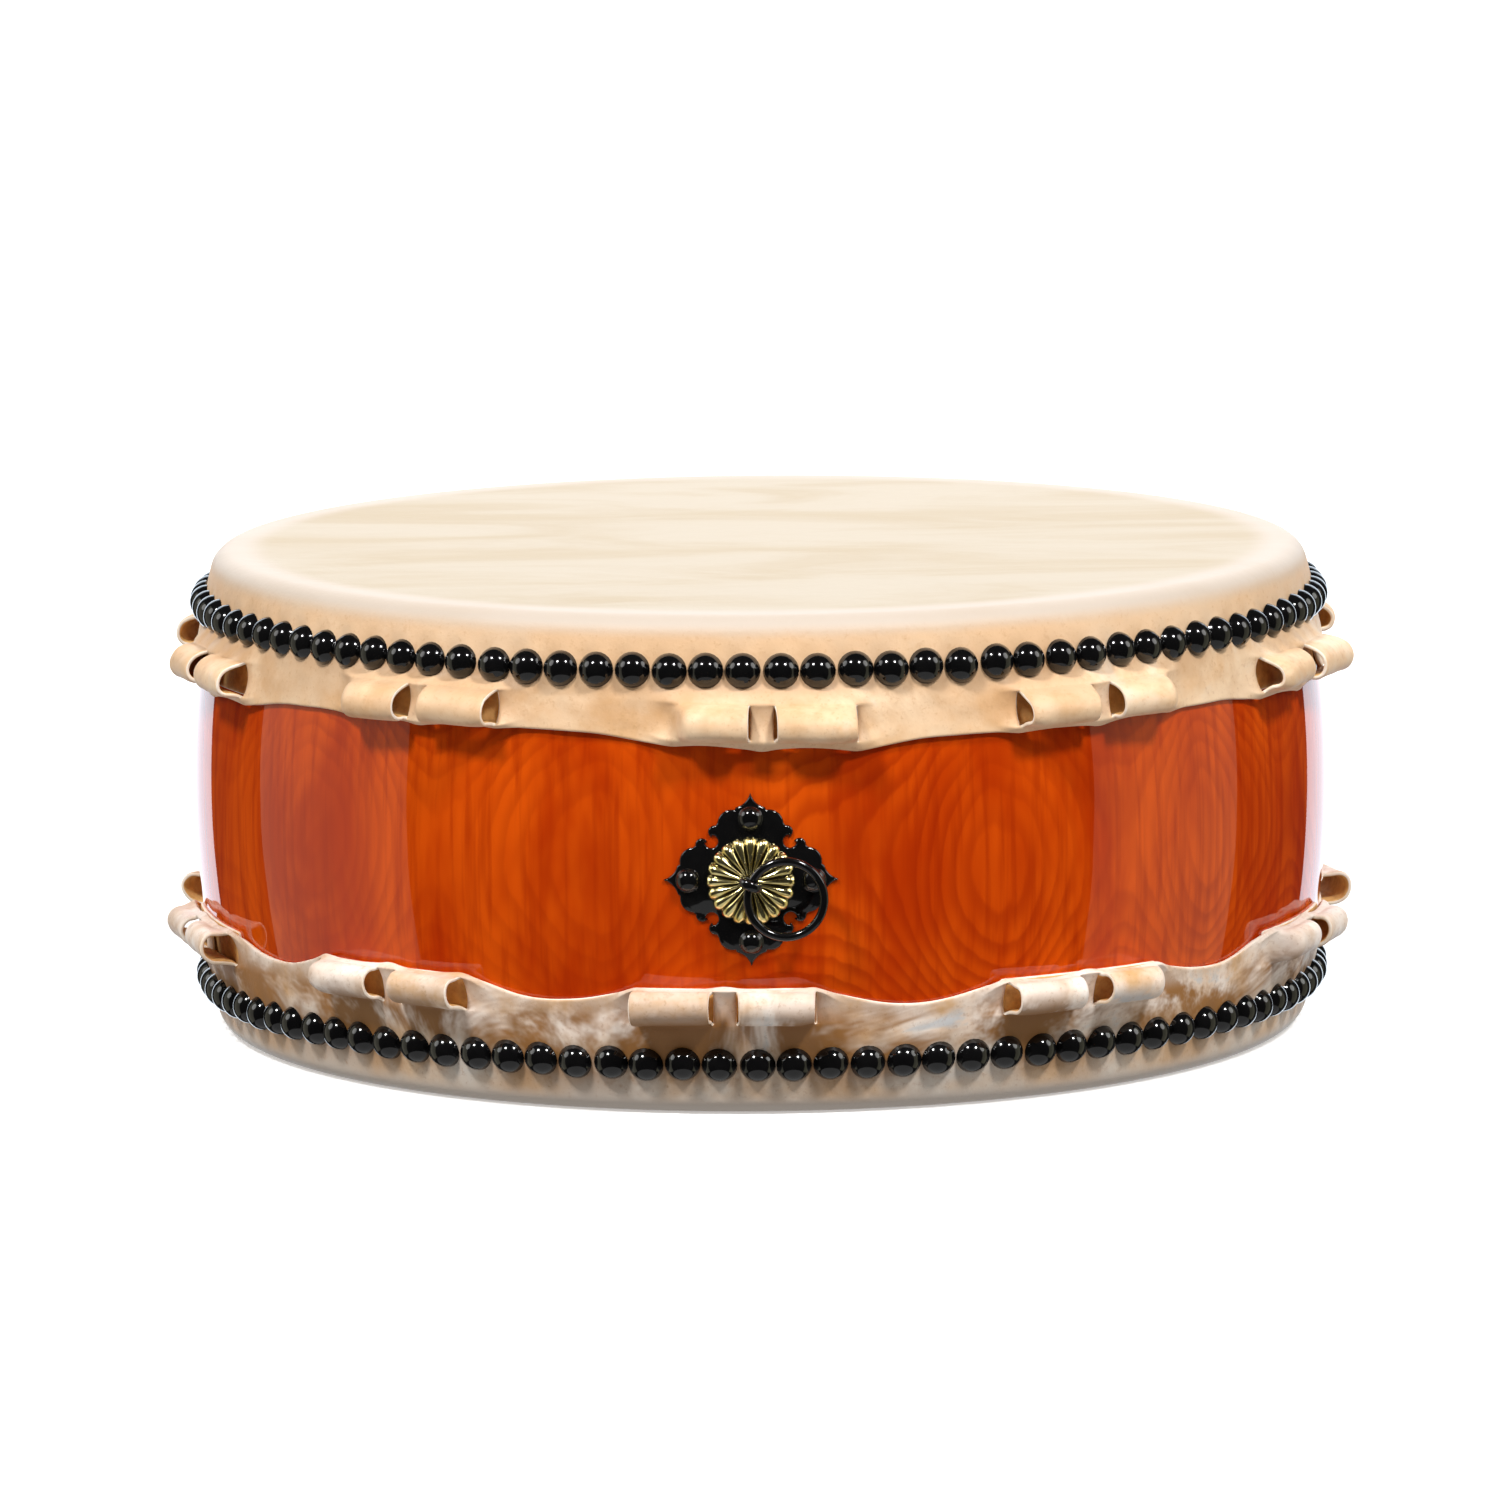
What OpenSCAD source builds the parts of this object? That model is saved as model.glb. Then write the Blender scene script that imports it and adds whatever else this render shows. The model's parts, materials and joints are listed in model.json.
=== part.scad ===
// A flat barrel drum: a hollowed wood shell, two tacked rawhide heads with rolled ears round
// their rims, and a ring handle on each of two opposite sides.
// The drum stands on one head. Its axis is +Z, the front handle faces -Y, and the origin is the
// centre of the face that it stands on.

/* [Drum] */
// Height over both heads
drum_h = 242; // [234:2:250]
// Diameter of the wood across its bearing edge
edge_d = 545; // [540:1:550]
// Largest diameter of the wood, at mid height
mid_d = 574; // [570:1:580]
// Thickness of the wood wall
wall = 26; // [22:1:30]
// Radius of the rounded bearing edge
edge_r = 9; // [7:1:11]

/* [Hide] */
// Thickness of the rawhide
hide_t = 2.6; // [2.2:0.1:3]
// Depth of the top head's skirt at its ears, measured from the face of the head
top_skirt = 65; // [64:0.5:66]
// Depth of the bottom head's skirt at its ears, measured from the face of the head
bottom_skirt = 66; // [66:0.5:68]
// How far the top head's rim draws back between two ears
top_scallop = 6.5; // [4:0.5:9]
// How far the bottom head's rim draws back between two ears
bottom_scallop = 10; // [4:0.5:10]

/* [Ears] */
// Number of ears round each head
ear_count = 10; // [8:2:12]
// Length of an ear, along its straight roll
ear_len = 92; // [80:2:96]
// Outer diameter of the roll
ear_d = 17.5; // [17:0.5:19]
// Width of the slot that parts the two loops of an ear
ear_slot = 12; // [8:1:16]
// Depth of the top head's rolls, measured from the face of the head to their centre
top_ear_depth = 53; // [53:0.5:55.5]
// Depth of the bottom head's rolls, measured from the face of the head to their centre
bottom_ear_depth = 56; // [56:0.5:58]

/* [Tacks] */
// Number of dome tacks in each row
tack_count = 99; // [90:1:100]
// Diameter of a tack's dome
tack_d = 17.2; // [15:0.1:17.2]
// Height of a tack's dome
tack_h = 7; // [5:0.1:7]
// Depth of the row, measured down from the face of the head
tack_depth = 26; // [24:1:30]

/* [Handles] */
// Height of the handles above the resting face
handle_z = 116.6; // [108:0.2:134]
// Span of the ornamental plate from point to point
plate_span = 84; // [80:1:88]
// Diameter of the brass rosette
rosette_d = 42.6; // [40:0.2:44]
// Number of petals on the rosette
petal_count = 20; // [12:1:24]
// Outer diameter of the ring
ring_d = 40.8; // [39:0.2:42]
// Diameter of the ring's wire
wire_d = 4.2; // [3.6:0.1:4.4]
// How far the hanging ring leans, measured below the horizontal
ring_lean = 23; // [0:1:90]

/* [Hidden] */
$fn = 96;

// Gap between the hide and the wood, and between two pieces that only touch
seat_gap = 0.1;
// Every module below works from mid height, and half_h lifts it onto its resting face.
half_h = drum_h / 2;

// The barrel: an arc of radius barrel_r about [barrel_x, 0], closed at each end by a rounded edge.
wood_h = half_h - hide_t;
bulge = (mid_d - edge_d) / 2;
barrel_r = (wood_h * wood_h + bulge * bulge) / (2 * bulge);
barrel_x = mid_d / 2 - barrel_r;
edge_z = wood_h - edge_r;
edge_x = barrel_x + sqrt(pow(barrel_r - edge_r, 2) - edge_z * edge_z);
edge_a = asin(edge_z / (barrel_r - edge_r));
barrel_steps = 18;
edge_steps = 6;

// Hide and ears. The ears are set out by hand, so their pitch drifts a little round a rim.
roll_overlap = 1.2;
web_h = ear_d * 0.6;
web_reach = 6;
slot_back = 4;
ear_pitch = 360 / ear_count;
top_ear_phase = 1.2;
top_ear_drift = -2.2;
bottom_ear_phase = -1.8;
bottom_ear_drift = 0.4;
scallop_half = PI * mid_d / 2 / ear_count - ear_len / 2 - 4;
scallop_cutter = 50;

// Tacks
tack_z = half_h - tack_depth;
shank_d = 3;
shank_len = 20;
top_tack_phase = -0.6;
bottom_tack_phase = 0.4;

// Handles, measured outwards from the surface of the wood
plate_t = 1.4;
nail_place = 30;
nail_d = 11.4;
nail_h = 4;
nail_shank = 16;
lobe_half_w = 12.5;
tip_hollow_r = 9.8;
shoulder_r = 5.2;
cusp_r = 3.1;
throat_r = 4.6;
notch_r = 3.7;
notch_place = plate_span * 0.318;
plate_core_d = plate_span * 0.58;
rosette_h = 5.4;
rosette_rim = 2.2;
eye_lift = 13;
eye_d = 12.4;
eye_hole_d = 7.2;
eye_w = 4.6;
leg_t = 2.2;
leg_gap = 0.4;
foot_len = 15;
pin_bore_d = 8;
washer_d = 24;
washer_t = 1.5;
washer_drop = 0.4;
foot_gap = 0.4;

// Radius of the wood's surface at a height, and the angle by which it leans there
function surface_r(z) = barrel_x + sqrt(barrel_r * barrel_r - z * z);
function surface_a(z) = asin(z / barrel_r);

// Points of the barrel's side and of its upper edge, moved outwards by o
function side_points(o, from, to, steps) = [
    for (i = [0:steps])
        let (a = from + (to - from) * i / steps)
            [barrel_x + (barrel_r + o) * cos(a), (barrel_r + o) * sin(a)]
];
function edge_points(o) = [
    for (i = [0:edge_steps])
        let (a = edge_a + (90 - edge_a) * i / edge_steps)
            [edge_x + (edge_r + o) * cos(a), edge_z + (edge_r + o) * sin(a)]
];
function reversed(points) = [for (i = [len(points) - 1:-1:0]) points[i]];
function flipped(points) = [for (p = reversed(points)) [p.x, -p.y]];

// Where an ear sits round its rim. Opposite ears match.
function ear_azimuth(i, phase, drift) = phase + ear_pitch * i + drift * sin(720 * i / ear_count);

// Lifts the drum from mid height onto its resting face
module standing() {
    translate([0, 0, half_h]) children();
}

// Puts a child on the wood, with its +Z along the outward normal
module on_surface(azimuth, z, lift = 0) {
    rotate([0, 0, azimuth])
        translate([0, -surface_r(z), z])
            rotate([90 - surface_a(z), 0, 0])
                translate([0, 0, lift])
                    children();
}

// Solid of revolution under the barrel's surface, moved outwards by o
module barrel_solid(o) {
    upper = edge_points(o);
    rotate_extrude(convexity = 4)
        polygon(concat(
            [[0, -wood_h - o]],
            flipped(upper),
            side_points(o, -edge_a, edge_a, barrel_steps),
            upper,
            [[0, wood_h + o]]
        ));
}

// ---- Wood ----

// The inside follows the outside at the wall's thickness, and slopes up to the bearing edge.
module shell_blank() {
    upper = edge_points(0);
    inner_a = asin((wood_h - 12) / (barrel_r - wall));
    rotate_extrude(convexity = 6)
        polygon(concat(
            flipped(upper),
            side_points(0, -edge_a, edge_a, barrel_steps),
            upper,
            side_points(-wall, inner_a, -inner_a, barrel_steps)
        ));
}

module body_shell() {
    color([0.72, 0.23, 0.02])
        difference() {
            shell_blank();
            for (side = [0, 180])
                handle_frame(side)
                    cylinder(h = 4 * wall, d = pin_bore_d, center = true);
        }
}

// ---- Heads ----

// Membrane, rounded edge and skirt, before the rim is cut
module head_skin(rim_z) {
    rim_a = asin(rim_z / barrel_r);
    rotate_extrude(convexity = 6)
        polygon(concat(
            [[0, half_h]],
            reversed(edge_points(hide_t)),
            side_points(hide_t, edge_a, rim_a, 8),
            side_points(seat_gap, rim_a, edge_a, 8),
            edge_points(seat_gap),
            [[0, wood_h + seat_gap]]
        ));
}

// One round bite out of the rim between two ears
module scallop(azimuth, rim_z, rise) {
    scallop_r = (scallop_half * scallop_half + rise * rise) / (2 * rise);
    rotate([0, 0, azimuth])
        translate([0, -edge_d / 2 + 20, rim_z + rise - scallop_r])
            rotate([90, 0, 0])
                cylinder(h = scallop_cutter, r = scallop_r);
}

// Section of the roll: a tube, and the web that joins it to the skirt on its +X side
module roll_section() {
    difference() {
        union() {
            circle(d = ear_d);
            translate([0, -ear_d / 2]) square([ear_d / 2 + web_reach, web_h]);
        }
        circle(d = ear_d - 2 * hide_t);
    }
}

// Two loops of hide in line, open where the stretching rod was drawn out
module ear(azimuth, ear_z) {
    ear_y = surface_r(ear_z) + hide_t + ear_d / 2 - roll_overlap;
    rotate([0, 0, azimuth])
        translate([0, -ear_y, ear_z])
            difference() {
                translate([-ear_len / 2, 0, 0])
                    rotate([90, 0, 90])
                        linear_extrude(ear_len) roll_section();
                translate([-ear_slot / 2, -ear_d, -ear_d / 2 + hide_t])
                    cube([ear_slot, ear_d - slot_back, ear_d]);
            }
}

module upper_head(skirt, rise, ear_depth, phase, drift) {
    rim_z = half_h - skirt;
    color([0.87, 0.76, 0.58])
        union() {
            difference() {
                head_skin(rim_z);
                for (i = [0:ear_count - 1]) {
                    between = (ear_azimuth(i, phase, drift) + ear_azimuth(i + 1, phase, drift)) / 2;
                    scallop(between, rim_z, rise);
                }
            }
            difference() {
                for (i = [0:ear_count - 1]) ear(ear_azimuth(i, phase, drift), half_h - ear_depth);
                barrel_solid(seat_gap);
            }
        }
}

module top_head() upper_head(top_skirt, top_scallop, top_ear_depth, top_ear_phase, top_ear_drift);

module bottom_head()
    mirror([0, 0, 1])
        upper_head(bottom_skirt, bottom_scallop, bottom_ear_depth, bottom_ear_phase, bottom_ear_drift);

// ---- Tacks ----

// A dome on a round shank, with the dome's base at z = 0
module tack(d, h, shank) {
    ball_r = (d * d / 4 + h * h) / (2 * h);
    intersection() {
        translate([0, 0, h - ball_r]) sphere(r = ball_r);
        cylinder(h = h + 1, d = d + 2);
    }
    translate([0, 0, -shank]) cylinder(h = shank + h / 2, d = shank_d);
}

module tack_row(phase, z) {
    color([0.02, 0.02, 0.02])
        for (i = [0:tack_count - 1])
            on_surface(phase + i * 360 / tack_count, z, hide_t)
                tack(tack_d, tack_h, shank_len);
}

module top_tacks() tack_row(top_tack_phase, tack_z);

module bottom_tacks() tack_row(bottom_tack_phase, -tack_z);

// ---- Handles ----

// Puts a child on the handle's axis: +Z outwards from the wood, +Y up the drum
module handle_frame(side) {
    rotate([0, 0, side])
        translate([0, -mid_d / 2, handle_z - half_h])
            rotate([90, 0, 0])
                children();
}

// One of the plate's four lobes, pointing along +Y
module plate_lobe() {
    tip = plate_span / 2;
    difference() {
        polygon([[0, tip], [-lobe_half_w, tip - 12], [-lobe_half_w, 12], [lobe_half_w, 12], [lobe_half_w, tip - 12]]);
        for (s = [-1, 1])
            translate([s * 11.6, tip + 2.4]) circle(r = tip_hollow_r);
    }
    for (s = [-1, 1]) {
        translate([s * 9.6, tip - 13]) circle(r = shoulder_r);
        translate([s * 17.4, tip - 18]) circle(r = cusp_r);
        translate([s * lobe_half_w, tip - 20]) circle(r = throat_r);
    }
}

module plate_outline() {
    difference() {
        union() {
            circle(d = plate_core_d);
            for (turn = [0:90:270]) rotate(turn) plate_lobe();
        }
        for (turn = [45:90:315])
            rotate(turn) translate([notch_place, 0]) circle(r = notch_r);
        circle(d = pin_bore_d);
    }
}

// Sheet metal beaten to the barrel's curve
module plate(side) {
    color([0.03, 0.03, 0.035])
        intersection() {
            handle_frame(side)
                translate([0, 0, -15]) linear_extrude(30) plate_outline();
            difference() {
                barrel_solid(plate_t);
                barrel_solid(seat_gap / 2);
            }
        }
}

module plate_tacks(side) {
    spread = asin(nail_place / (mid_d / 2));
    mid = handle_z - half_h;
    color([0.02, 0.02, 0.02])
        for (spot = [[spread, mid], [-spread, mid], [0, mid + nail_place], [0, mid - nail_place]])
            on_surface(side + spot.x, spot.y, plate_t)
                tack(nail_d, nail_h, nail_shank);
}

// Domed disc with a scalloped edge, one scallop to a petal
module rosette(side) {
    rim = rosette_d / 2;
    petal_r = rim * sin(180 / petal_count) * 1.08;
    color([0.62, 0.5, 0.2])
        handle_frame(side)
            translate([0, 0, plate_t])
                intersection() {
                    rotate_extrude()
                        polygon([
                            [pin_bore_d / 2, 0], [rim, 0], [rim, rosette_rim], [rim - 4, rosette_h - 0.9],
                            [rim - 9, rosette_h], [rim - 15, rosette_h - 0.8], [pin_bore_d / 2, rosette_h - 1.4]
                        ]);
                    linear_extrude(rosette_h + 1)
                        difference() {
                            union() {
                                circle(r = rim - petal_r);
                                for (i = [0:petal_count - 1])
                                    rotate(i * 360 / petal_count)
                                        translate([rim - petal_r, 0]) circle(r = petal_r);
                            }
                            circle(d = pin_bore_d);
                        }
                }
}

// Turns a child so that its +X runs from the eye to the centre of the hanging ring
module ring_frame(side) {
    handle_frame(side)
        translate([0, 0, eye_lift])
            rotate([0, 0, -ring_lean])
                children();
}

// A flat bar bent into an eye, its two legs through the wall and clenched over the washer
module split_pin(side) {
    inner_z = -wall - washer_drop - washer_t - foot_gap;
    leg_len = eye_lift - inner_z - eye_d / 2 + leg_t + 1;
    color([0.05, 0.05, 0.05])
        ring_frame(side) {
            difference() {
                union() {
                    rotate([90, 0, 0]) cylinder(h = eye_w, d = eye_d, center = true);
                    translate([-leg_t - leg_gap / 2, -eye_w / 2, -eye_d / 2 - leg_len + 1])
                        cube([2 * leg_t + leg_gap, eye_w, leg_len]);
                }
                rotate([90, 0, 0]) cylinder(h = 2 * eye_w, d = eye_hole_d, center = true);
                translate([-leg_gap / 2, -eye_w, -eye_d / 2 - leg_len])
                    cube([leg_gap, 2 * eye_w, leg_len]);
            }
            for (s = [-1, 1])
                translate([s > 0 ? leg_gap / 2 : -foot_len - leg_gap / 2, -eye_w / 2,
                           inner_z - eye_lift - leg_t])
                    cube([foot_len, eye_w, leg_t]);
        }
}

module washer(side) {
    color([0.3, 0.3, 0.3])
        handle_frame(side)
            translate([0, 0, -wall - washer_drop - washer_t])
                difference() {
                    cylinder(h = washer_t, d = washer_d);
                    translate([0, 0, -1]) cylinder(h = washer_t + 2, d = pin_bore_d);
                }
}

module ring(side) {
    mean_r = (ring_d - wire_d) / 2;
    color([0.03, 0.03, 0.03])
        ring_frame(side)
            translate([mean_r, 0, 0])
                rotate_extrude() translate([mean_r, 0]) circle(d = wire_d);
}

standing() body_shell();
standing() top_head();
standing() bottom_head();
standing() top_tacks();
standing() bottom_tacks();
standing() plate(0);  // front_plate
standing() plate_tacks(0);  // front_plate_tacks
standing() rosette(0);  // front_rosette
standing() split_pin(0);  // front_split_pin
standing() washer(0);  // front_washer
standing() ring(0);  // front_ring
standing() plate(180);  // back_plate
standing() plate_tacks(180);  // back_plate_tacks
standing() rosette(180);  // back_rosette
standing() split_pin(180);  // back_split_pin
standing() washer(180);  // back_washer
standing() ring(180);  // back_ring
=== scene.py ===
"""Looks of a flat barrel drum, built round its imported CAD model. Lengths are in metres."""

import json
import math
import random

import bmesh
import bpy
from mathutils import Matrix, Vector, geometry, noise


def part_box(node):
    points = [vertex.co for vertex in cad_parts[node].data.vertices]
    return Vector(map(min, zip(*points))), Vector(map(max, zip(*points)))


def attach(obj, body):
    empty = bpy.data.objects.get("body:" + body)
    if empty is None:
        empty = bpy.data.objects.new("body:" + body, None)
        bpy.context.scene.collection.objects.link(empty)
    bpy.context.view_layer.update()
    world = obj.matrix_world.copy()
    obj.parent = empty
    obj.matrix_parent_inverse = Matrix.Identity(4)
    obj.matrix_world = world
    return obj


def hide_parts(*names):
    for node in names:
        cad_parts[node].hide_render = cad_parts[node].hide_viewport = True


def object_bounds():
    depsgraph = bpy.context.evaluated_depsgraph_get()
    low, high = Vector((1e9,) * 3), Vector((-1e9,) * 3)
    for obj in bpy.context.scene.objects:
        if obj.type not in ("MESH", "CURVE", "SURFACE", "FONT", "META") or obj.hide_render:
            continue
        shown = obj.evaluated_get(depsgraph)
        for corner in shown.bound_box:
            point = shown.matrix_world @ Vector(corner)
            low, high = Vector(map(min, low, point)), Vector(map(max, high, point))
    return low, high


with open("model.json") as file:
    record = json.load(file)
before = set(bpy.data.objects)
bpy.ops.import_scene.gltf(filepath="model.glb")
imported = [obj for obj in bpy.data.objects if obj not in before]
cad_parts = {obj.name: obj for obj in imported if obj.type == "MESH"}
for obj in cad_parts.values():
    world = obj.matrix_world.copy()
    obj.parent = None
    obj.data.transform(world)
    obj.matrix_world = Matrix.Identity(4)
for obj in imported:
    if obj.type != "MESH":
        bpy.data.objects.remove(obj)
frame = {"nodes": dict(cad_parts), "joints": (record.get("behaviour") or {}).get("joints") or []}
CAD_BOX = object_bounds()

MM = 0.001
TAU = 2 * math.pi
NO_SIZE = 1e-7
SAME_PLACE = 0.01 * MM

# ---- Sizes, worked out from the frame where it holds them ----

SHELL_LO, SHELL_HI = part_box("body_shell")
PLATE_LO, PLATE_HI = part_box("front_plate")
RING_LO, RING_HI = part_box("front_ring")
PIN = next(j for j in frame["joints"] if j["name"] == "front_pin_swivel")

HALF_H = (CAD_BOX[0].z + CAD_BOX[1].z) / 2
HIDE_T = SHELL_LO.z - CAD_BOX[0].z
MID_R = SHELL_HI.y
EDGE_R = 272.5 * MM
EDGE_ROUND = 9 * MM
WALL = 26 * MM
EDGE_SLOPE = 12 * MM

# The barrel's side is an arc of radius BARREL_R about BARREL_X, measured from mid height.
WOOD_H = HALF_H - HIDE_T
BULGE = MID_R - EDGE_R
BARREL_R = (WOOD_H**2 + BULGE**2) / (2 * BULGE)
BARREL_X = MID_R - BARREL_R
ROUND_Z = WOOD_H - EDGE_ROUND
ROUND_X = BARREL_X + math.sqrt((BARREL_R - EDGE_ROUND) ** 2 - ROUND_Z**2)
ROUND_A = math.asin(ROUND_Z / (BARREL_R - EDGE_ROUND))

EAR_COUNT = 10
EAR_LEN = 92 * MM
EAR_SLOT = 12 * MM
ROLL_R = 8.5 * MM
ROLL_GAP = 1.4 * MM

TACK_COUNT = 99
TACK_R = 8.7 * MM
TACK_H = 7.2 * MM
TACK_DEPTH = 26 * MM
TACK_SHANK = 20 * MM
SHANK_R = 1.5 * MM
TACK_Z = HALF_H - TACK_DEPTH

HANDLE_Z = PIN["pos_m"][2]
EYE_Y = PIN["pos_m"][1]
PLATE_T = 1.4 * MM
WIRE_R = (RING_HI.y - RING_LO.y) / 2
RING_R = (RING_HI.z - RING_LO.z) / 2 - WIRE_R
RING_LEAN = math.radians(23)


def smooth(t):
    """Eases from 0 to 1 as t goes from 0 to 1, and holds outside that."""
    t = min(max(t, 0.0), 1.0)
    return t * t * (3 - 2 * t)


def lerp(a, b, t):
    return a + (b - a) * t


def wood_r(z):
    """Radius of the barrel at a height from mid height."""
    return BARREL_X + math.sqrt(BARREL_R**2 - z * z)


def arc(cx, cy, r, a0, a1, steps):
    """Points of an arc from angle a0 to a1, in degrees, both ends included."""
    turns = [math.radians(lerp(a0, a1, i / steps)) for i in range(steps + 1)]
    return [(cx + r * math.cos(a), cy + r * math.sin(a)) for a in turns]


def bezier(p0, p1, p2, p3, t):
    """A point of a cubic curve, t from 0 to 1."""
    return tuple(
        (1 - t) ** 3 * a + 3 * (1 - t) ** 2 * t * b + 3 * (1 - t) * t * t * c + t**3 * d
        for a, b, c, d in zip(p0, p1, p2, p3)
    )


# ---- Materials ----


class Shader:
    """A Principled material, and short ways to add nodes to it."""

    def __init__(self, name, **inputs):
        self.material = bpy.data.materials.new(name)
        self.material.use_nodes = True
        self.tree = self.material.node_tree
        self.surface = self.tree.nodes["Principled BSDF"]
        for key, value in inputs.items():
            self.surface.inputs[key.replace("_", " ")].default_value = value

    def node(self, kind, *sources, **settings):
        """Adds a node. Sources are sockets or constants for its inputs, in order; None skips one."""
        made = self.tree.nodes.new(kind)
        for key, value in settings.items():
            setattr(made, key, value)
        for socket, source in zip(made.inputs, sources):
            self.feed(socket, source)
        return made

    def feed(self, socket, source):
        if isinstance(source, bpy.types.NodeSocket):
            self.tree.links.new(source, socket)
        elif source is not None:
            socket.default_value = source

    def place(self):
        """The object's own coordinates, in metres."""
        return self.node("ShaderNodeTexCoord").outputs["Object"]

    def math(self, operation, *sources):
        return self.node("ShaderNodeMath", *sources, operation=operation).outputs[0]

    def vector(self, operation, *sources):
        return self.node("ShaderNodeVectorMath", *sources, operation=operation).outputs[0]

    def split(self, vector):
        return self.node("ShaderNodeSeparateXYZ", vector).outputs

    def length(self, vector):
        return self.node("ShaderNodeVectorMath", vector, operation="LENGTH").outputs["Value"]

    def noise(self, vector, scale, detail=3.0, roughness=0.5, distortion=0.0):
        """Noise from 0 to 1, mostly near 0.5. Scale is in cells for each metre."""
        made = self.node("ShaderNodeTexNoise", noise_dimensions="3D")
        values = {
            "Vector": vector, "Scale": scale, "Detail": detail,
            "Roughness": roughness, "Distortion": distortion
        }
        for key, value in values.items():
            self.feed(made.inputs[key], value)
        return made.outputs["Fac"]

    def step(self, value, low, high):
        """Eases from 0 at low to 1 at high."""
        made = self.node("ShaderNodeMapRange", value, low, high, interpolation_type="SMOOTHSTEP")
        return made.outputs[0]

    def mix(self, amount, first, second):
        """The first colour where the amount is 0, the second where it is 1."""
        made = self.node("ShaderNodeMix", data_type="RGBA")
        sources = {"Factor_Float": amount, "A_Color": first, "B_Color": second}
        for key, source in sources.items():
            self.feed(next(s for s in made.inputs if s.identifier == key), source)
        return next(s for s in made.outputs if s.identifier == "Result_Color")

    def bump(self, height, distance, strength=1.0, below=None):
        made = self.node("ShaderNodeBump")
        for key, value in {"Height": height, "Distance": distance, "Strength": strength}.items():
            self.feed(made.inputs[key], value)
        if below is not None:
            self.feed(made.inputs["Normal"], below)
        return made.outputs[0]

    def finish(self, **links):
        """Joins sockets to the surface's inputs, and returns the material."""
        for key, source in links.items():
            self.feed(self.surface.inputs[key.replace("_", " ")], source)
        return self.material


def colour(red, green, blue):
    """A colour given as 0 to 255 on screen, as linear values."""
    def linear(v):
        v /= 255
        return v / 12.92 if v <= 0.04045 else ((v + 0.055) / 1.055) ** 2.4

    return linear(red), linear(green), linear(blue), 1.0


# Directions round the drum, in degrees from the front, where the growth rings swell outwards.
FIGURE_AZIMUTHS = (-49, -16, 25, 50, 84, 121, 152, 190, 227, 268)
FIGURE_SHARPNESS = 70.0
FIGURE_SWELL = 7.5 * MM
RING_SPACING = 1.05 * MM


def direction(azimuth, elevation=0.0):
    """Unit vector away from the drum, in degrees: azimuth from the front towards the right."""
    a, e = math.radians(azimuth), math.radians(elevation)
    return Vector((math.sin(a) * math.cos(e), -math.cos(a) * math.cos(e), math.sin(e)))


def lacquered_wood():
    """Orange-stained wood under clear gloss: growth rings of a wavy log, cut by the barrel's curve."""
    s = Shader(
        "lacquered_wood", Roughness=0.5, Specular_IOR_Level=0.0,
        Coat_Weight=1.0, Coat_Roughness=0.02, Coat_IOR=1.5
    )
    place = s.place()
    x, y, _ = s.split(place)
    flat = s.node("ShaderNodeCombineXYZ", x, y, 0.0).outputs[0]
    outward = s.vector("NORMALIZE", flat)

    waves = None
    for azimuth in FIGURE_AZIMUTHS:
        bearing = tuple(direction(azimuth))
        facing = s.node("ShaderNodeVectorMath", outward, bearing, operation="DOT_PRODUCT").outputs["Value"]
        lobe = s.math("EXPONENT", s.math("MULTIPLY_ADD", facing, FIGURE_SHARPNESS, -FIGURE_SHARPNESS))
        waves = lobe if waves is None else s.math("ADD", waves, lobe)

    low = s.noise(s.vector("MULTIPLY", place, (1, 1, 0.35)), 9.0, 2.0)
    fine = s.noise(s.vector("MULTIPLY", place, (1, 1, 0.22)), 60.0, 3.0)
    growth = s.math("MULTIPLY_ADD", waves, FIGURE_SWELL, s.length(flat))
    growth = s.math("MULTIPLY_ADD", low, 9.0 * MM, growth)
    growth = s.math("MULTIPLY_ADD", fine, 1.1 * MM, growth)
    ring = s.math("FRACT", s.math("MULTIPLY", growth, 1 / RING_SPACING))
    late = s.math("MULTIPLY", s.step(ring, 0.15, 0.8), s.step(ring, 1.0, 0.8))
    clear = s.step(s.noise(s.vector("MULTIPLY", place, (1, 1, 0.6)), 10.0, 2.0), 0.38, 0.68)
    late = s.math("MULTIPLY", late, s.math("MULTIPLY_ADD", clear, 0.3, 0.12))

    patches = s.noise(s.vector("MULTIPLY", place, (1, 1, 0.3)), 16.0, 4.0, 0.65, 0.4)
    fibres = s.noise(s.vector("MULTIPLY", place, (210, 210, 7)), 1.0, 3.0)
    base = s.mix(s.step(patches, 0.34, 0.66), colour(184, 52, 0), colour(222, 84, 6))
    base = s.mix(late, base, colour(150, 30, 0))
    fibres = s.math("MULTIPLY", s.step(fibres, 0.45, 0.72), 0.5)
    base = s.mix(fibres, base, colour(160, 38, 0))
    waviness = s.bump(s.noise(place, 9.0, 2.0), 0.6 * MM, 0.5)
    s.feed(s.surface.inputs["Coat Normal"], waviness)
    return s.finish(Base_Color=base)


# How far left of the handle the stains are heaviest, in radians
STAIN_LEAN = 0.7


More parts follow.
